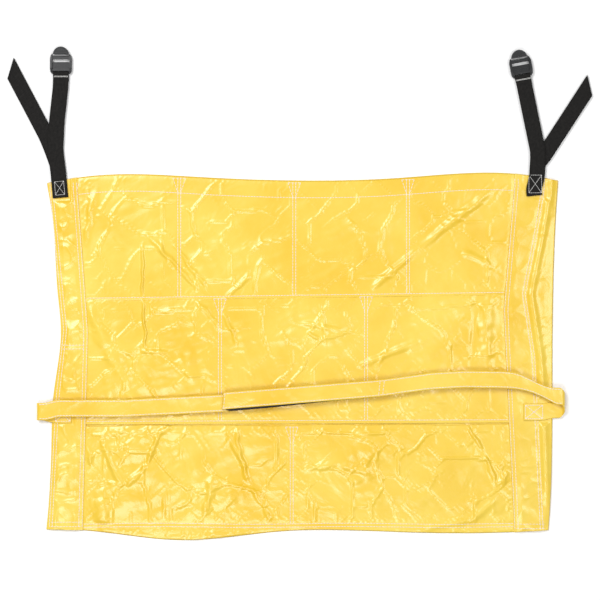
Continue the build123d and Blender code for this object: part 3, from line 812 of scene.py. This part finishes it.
def makeStrap(side):
    # one run of webbing: sewn tab, up over the panel's edge, round the buckle's bar and back beneath
    node, tab = side + "_buckle_webbing", side + "_strap_tab"
    root, tail = side + "_tail_root", side + "_tail_webbing"
    bar = jointOf(side + "_buckle_turn")
    barPlace, barWay = np.array(bar["pos_m"]), np.array(bar["axis"])
    up = np.array([-barWay[1], barWay[0], 0])
    fold = jointOf(side + "_strap_fold")["pos_m"]
    tabLow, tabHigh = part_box(tab)
    level = tabHigh.z - webbingThick / 2
    line = [(sum(spanX(tab, y)) / 2, y, level) for y in np.linspace(tabLow.y + 5 * mm, tabHigh.y - 4 * mm, 5)]
    line[0] = (line[0][0] - (line[1][0] - line[0][0]) * 0.4, tabLow.y + 2 * mm, level)
    strapYs = np.linspace(fold[1] + 4 * mm, barPlace[1] - 22 * mm, 12)
    line += [(sum(spanX(node, y)) / 2, y, level) for y in strapYs]
    wrap = webbingThick / 2 + 1.45 * mm
    for angle in range(90, -91, -15):
        bend = math.radians(angle)
        line.append(tuple(barPlace + up * wrap * math.cos(bend) + np.array([0, 0, wrap * math.sin(bend)])))
    line.append(tuple(barPlace - up * 7 * mm + np.array([0, 0, -1.2 * mm])))
    line.append(tuple(barPlace - up * 13 * mm + np.array([0, 0, -0.7 * mm])))
    centres = smoothLine(line, 1.6 * mm)
    across = planAcross(centres)
    late = centres[:, 1] > barPlace[1] - 20 * mm
    over = np.argmax(centres[:, 1])
    across[late] = -barWay
    across[over:] = -barWay
    for _ in range(5):
        across[1:-1] = (across[:-2] + across[1:-1] + across[2:]) / 3
    across /= np.linalg.norm(across, axis=1)[:, None]
    strap, length = sweepRibbon(side + "Strap", centres, across, webbingHalf, blackWebbing,
                                columns=11, crown=0.15 * mm, uneven=0.22 * mm, seed=71 + len(side))
    thicken(strap, webbingThick)
    strap.modifiers["cloth thickness"].offset = 0
    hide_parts(node, tab)
    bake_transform(strap)
    tailJoint = jointOf(side + "_tail_lift")
    hinge, hingeWay = np.array(tailJoint["pos_m"]), np.array(tailJoint["axis"])
    out = np.array([-hingeWay[1], hingeWay[0], 0])
    tailPoints = np.array([v.co for v in frame["nodes"][tail].data.vertices])
    if (tailPoints.mean(0) - hinge) @ out < 0:
        out = -out
    left = np.array([-out[1], out[0], 0])
    reach, aside = (tailPoints - hinge) @ out, (tailPoints - hinge) @ left
    leftEnd, rightEnd = reach[aside > 8 * mm].max(), reach[aside < -8 * mm].max()
    tailLevel = hinge[2]
    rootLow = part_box(root)[0]
    rootYs = [rootLow.y + lift * mm for lift in (2, 10, 18)]
    tailLine = [(sum(spanX(node, y)) / 2, y, tailLevel) for y in rootYs]
    tailLine += [tuple(hinge + out * travel) for travel in (-26 * mm, 0, (leftEnd + rightEnd) / 2)]
    tailCentres = smoothLine(tailLine, 1.8 * mm, 3)
    tailPiece, tailLength = sweepRibbon(
        side + "Tail", tailCentres, planAcross(tailCentres), webbingHalf, blackWebbing, columns=11,
        slant=leftEnd - rightEnd, uneven=0.3 * mm, seed=77 + len(side))
    thicken(tailPiece, webbingThick - 0.2 * mm)
    tailPiece.modifiers["cloth thickness"].offset = 0
    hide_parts(root, tail)
    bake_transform(tailPiece)
    return strap, centres, across


straps = {side: makeStrap(side) for side in ("left", "right")}
for side in ("left", "right"):
    buckle = frame["nodes"][side + "_buckle"]
    buckle.data.materials.clear()
    buckle.data.materials.append(bucklePlastic)
    rounding = buckle.modifiers.new("moulded edges", "BEVEL")
    rounding.width = 0.3 * mm
    rounding.segments = 2
    rounding.limit_method = "ANGLE"
    rounding.angle_limit = math.radians(35)
print("straps and buckles made")


stitch = {"length": 3.8 * mm, "pitch": 4.6 * mm, "radius": 0.52 * mm, "sink": 0.1 * mm}


def surfaceOf(pieces, below=1.0):
    # a tree of the finished surfaces under a height, for laying stitches on them
    points, faces = [], []
    for piece in pieces:
        shift = len(points)
        points += [v.co.copy() for v in piece.data.vertices]
        faces += [tuple(i + shift for i in f.vertices) for f in piece.data.polygons if f.center.z < below]
    return BVHTree.FromPolygons(points, faces)


def stitchCapsule(a, b, radius):
    # one stitch as a six-sided grain between two points
    way = (b - a).normalized()
    left = way.cross(Vector((0, 0, 1))).normalized()
    up = left.cross(way)
    points = [a - way * radius * 0.5]
    for place, share in ((a, 0.8), (a.lerp(b, 0.5), 1.0), (b, 0.8)):
        for turn in range(6):
            angle = turn * math.pi / 3
            points.append(place + (left * math.cos(angle) + up * math.sin(angle)) * radius * share)
    points.append(b + way * radius * 0.5)
    faces = [(0, 1 + (t + 1) % 6, 1 + t) for t in range(6)]
    for ring in (1, 7):
        faces += [(ring + t, ring + (t + 1) % 6, ring + 6 + (t + 1) % 6, ring + 6 + t) for t in range(6)]
    faces += [(13 + t, 13 + (t + 1) % 6, 19) for t in range(6)]
    return points, faces


def sewRuns(name, runs, surface, node, body, material=seamThread, rise=0.0,
            pitch=stitch["pitch"], radius=stitch["radius"]):
    # stitches along each run of plan points, laid on the surface below them
    points, faces = [], []
    rng = np.random.default_rng(len(name) * 7 + 3)
    length = stitch["length"] * pitch / stitch["pitch"]
    for run in runs:
        run = np.array(run, float)[:, :2]
        steps = np.r_[0, np.cumsum(np.linalg.norm(np.diff(run, axis=0), axis=1))]
        count = max(int(steps[-1] / pitch), 1)
        for place in (np.arange(count) + 0.5) * steps[-1] / count:
            ends = []
            for travel in (place - length / 2, place + length / 2):
                x, y = (np.interp(travel, steps, run[:, k]) + rng.normal(0, 0.09 * mm) for k in (0, 1))
                hit = surface.ray_cast(Vector((x, y, 0.1)), Vector((0, 0, -1)))[0]
                if hit:
                    ends.append(hit + Vector((0, 0, rise - stitch["sink"] + radius * 0.6)))
            if len(ends) == 2 and (ends[1] - ends[0]).length > 0.5 * mm:
                grain, sides = stitchCapsule(ends[0], ends[1], radius * rng.uniform(0.88, 1.1))
                faces += [tuple(i + len(points) for i in f) for f in sides]
                points += grain
    piece = makePiece(name, points, faces, material)
    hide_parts(node)
    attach(piece, body)
    return piece


def alongX(yOf, low, high, count=40):
    x = np.linspace(low, high, count)
    return np.stack([x, yOf(x) + 0 * x], -1)


def alongY(xOf, low, high, count=60):
    y = np.linspace(low, high, count)
    return np.stack([xOf(y) + 0 * y, y], -1)


bagSurface = surfaceOf([backPanel, *facings.values(), *pocketStrips.values()])
for rowName in ("top", "middle", "bottom"):
    mouth, foot, seam = stripEdges(rowName)
    runs = []
    for divider in dividersOf(rowName):
        low, high = seam(divider), mouth(divider) - 1.5 * mm
        runs += [alongY(lambda y: divider + shift + 0 * y, low, high) for shift in (-2.3 * mm, 2.3 * mm)]
        for way in (-1, 1):
            runs.append([(divider + way * 10 * mm, high), (divider + way * 1.5 * mm, high - 26 * mm)])
        runs.append([(divider - 10 * mm, high - 0.8 * mm), (divider + 10 * mm, high - 0.8 * mm)])
    sewRuns(rowName + "DividerStitches", runs, bagSurface, rowName + "_divider_stitching", "bag")
hemDepth = 27 * mm          # the mouth hem is turned in this far
mouthRun = alongX(lambda x: topY(x) - hemDepth, leftSeam(0.16), rightSeam(0.16), 120)
sewRuns("mouthHemStitches", [mouthRun], bagSurface, "mouth_hem_stitching", "bag")
seamRuns = [alongX(stripEdges(rowName)[2], leftSeam(y) + 1 * mm, rightSeam(y) - 1 * mm)
            for rowName, y in (("top", seamCuts[-1]), ("middle", seamCuts[0]))]
sewRuns("footSeamStitches", seamRuns, bagSurface, "foot_seam_stitching", "bag")
footLow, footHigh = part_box("bottom_hem_stitching")
hemRuns = [alongX(lambda x: level + 0.8 * mm * np.sin(x * 21), leftSeam(-0.35), rightSeam(-0.35), 80)
           for level in (footLow.y + 0.4 * mm, footHigh.y - 0.4 * mm)]
sewRuns("bottomHemStitches", hemRuns, bagSurface, "bottom_hem_stitching", "bag")
for side in ("left", "right"):
    outer, inner, band, way = (bands[side][key] for key in ("outer", "inner", "thread", "inward"))
    low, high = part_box(side + "_edge_facing")
    lowEnd, highEnd = low.y + 5 * mm, high.y - 8 * mm
    runs = [alongY(lambda y: band(y) + way * gap * mm, lowEnd, highEnd, 120) for gap in (0, 4.5)]
    runs += [alongY(lambda y: inner(y) - way * gap * mm, lowEnd, highEnd, 120) for gap in (1.8, 7)]
    for lift in (6, 13):
        y = low.y + lift * mm
        runs.append([(outer(lowEnd) + way * 6 * mm, y), (inner(lowEnd) - way * 4 * mm, y)])
    if side == "left":
        for y in (-81 * mm, -87 * mm):
            runs.append([(leftX(y) + 3 * mm, y), (leftSeam(y) - 5 * mm, y)])
        cornerY = 163 * mm
        cornerX = leftSeam(cornerY)
        runs.append([(cornerX - 2 * mm, cornerY), (cornerX + 4 * mm, topY(cornerX) - 3 * mm)])
    sewRuns(side + "BandStitches", runs, bagSurface, side + "_band_stitching", "bag")


def boxAndCross(node, inset, tilt):
    # the corners of a sewn box turned by tilt, and its two diagonals
    low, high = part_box(node)
    middle = np.array([(low.x + high.x) / 2, (low.y + high.y) / 2])
    c, s = abs(math.cos(tilt)), abs(math.sin(tilt))
    spanW, spanH = high.x - low.x, high.y - low.y
    det = c * c - s * s
    wide, tall = (c * spanW - s * spanH) / det, (c * spanH - s * spanW) / det
    turn = np.array([[math.cos(tilt), math.sin(tilt)], [-math.sin(tilt), math.cos(tilt)]])
    corners = [middle + (np.array([sx * (wide / 2 - inset), sy * (tall / 2 - inset)]) @ turn)
               for sx, sy in ((-1, -1), (1, -1), (1, 1), (-1, 1))]
    edges = [[corners[i], corners[(i + 1) % 4]] for i in range(4)]
    return edges + [[corners[0], corners[2]], [corners[1], corners[3]]]


for side in ("left", "right"):
    strap, centres, across = straps[side]
    strapSurface = surfaceOf([strap])
    tabWay = centres[8] - centres[0]
    tilt = math.atan2(-tabWay[0], tabWay[1])
    tabRuns = boxAndCross(side + "_tab_stitching", 0.3 * mm, tilt)
    sewRuns(side + "TabStitches", tabRuns, strapSurface, side + "_tab_stitching", "bag",
            greyThread, rise=webbingThick / 2, pitch=2.6 * mm, radius=0.36 * mm)
    low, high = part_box(side + "_loop_stitching")
    barWay = jointOf(side + "_buckle_turn")["axis"]
    middle = np.array([(low.x + high.x) / 2, (low.y + high.y) / 2])
    half = np.array(barWay[:2]) * (webbingHalf - 0.8 * mm)
    rows = [[middle - half + (0, lift), middle + half + (0, lift)] for lift in (0, 1.2 * mm)]
    sewRuns(side + "LoopStitches", rows, strapSurface, side + "_loop_stitching", side + "_strap", greyThread,
            rise=webbingThick / 2, pitch=2.2 * mm, radius=0.4 * mm)
    centres, across, topZ, footZ = beltLines[side]
    beltSurface = surfaceOf([beltPieces[side]])
    free = np.nonzero(centres[:, 2] > topZ - 0.05 * mm)[0]
    runs = [(centres[free] + across[free] * shift)[:, :2] for shift in (-11 * mm, 11 * mm)]
    end, sideways = centres[free[-1]], across[free[-1]]
    back = (centres[free[-3]] - end) / np.linalg.norm(centres[free[-3]] - end)
    runs.append([(end + back * 2.5 * mm + sideways * w)[:2] for w in (-11 * mm, 11 * mm)])
    if side == "right":
        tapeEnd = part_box("hook_strip")[1].x
        for beyond in (0, 6 * mm):
            i = free[np.argmin(np.abs(centres[free][:, 0] - tapeEnd - beyond))]
            runs.append([(centres[i] + across[i] * w)[:2] for w in (-11 * mm, 11 * mm)])
    sewRuns(side + "BeltStitches", runs, beltSurface, side + "_belt_stitching", side + "_belt",
            rise=beltThick / 2)
    anchorSurface = surfaceOf([beltPieces[side]], footZ + 1.5 * mm)
    sewRuns(side + "AnchorStitches", boxAndCross(side + "_anchor_stitching", 0.3 * mm, 0.0), anchorSurface,
            side + "_anchor_stitching", "bag", rise=beltThick / 2, pitch=3.4 * mm)
print("stitches sewn")

def addLamp(name, place, aim, power, size):
    data = bpy.data.lights.new(name, "AREA")
    data.energy, data.size = power, size
    lamp = bpy.data.objects.new(name, data)
    lamp.location = place
    lamp.rotation_euler = (Vector(aim) - Vector(place)).to_track_quat("-Z", "Y").to_euler()
    scene.collection.objects.link(lamp)


studio = {
    "world": 0.31,
    "lamps": [
        ("key softbox", (-1.1, 1.1, 2.4), (0, 0, 0), 45, 1.1),
        ("side softbox", (1.3, 0.1, 2.3), (0.1, 0, 0), 16, 0.9),
        ("low softbox", (-0.35, -1.15, 2.3), (0, -0.15, 0), 18, 0.9),
    ],
    "floor": (0.99, 0.99, 0.99, 1), "lens": 114.3, "camera": (0, -9.9 * mm, 3.0),
}
world = bpy.data.worlds.new("studio")
world.use_nodes = True
world.node_tree.nodes["Background"].inputs["Color"].default_value = (1, 1, 1, 1)
world.node_tree.nodes["Background"].inputs["Strength"].default_value = studio["world"]
scene.world = world
for lamp in studio["lamps"]:
    addLamp(*lamp)

floorPaper, _, floorShader = newMaterial("floorPaper", Roughness=0.9)
floorShader.inputs["Base Color"].default_value = studio["floor"]
bpy.ops.mesh.primitive_plane_add(size=12, location=(0, 0, -0.3 * mm))
floor = bpy.context.object
floor.name = "floor"
floor.data.materials.append(floorPaper)

eye = bpy.data.cameras.new("overhead camera")
eye.lens = studio["lens"]
camera = bpy.data.objects.new("overhead camera", eye)
camera.location = studio["camera"]
scene.collection.objects.link(camera)
scene.camera = camera
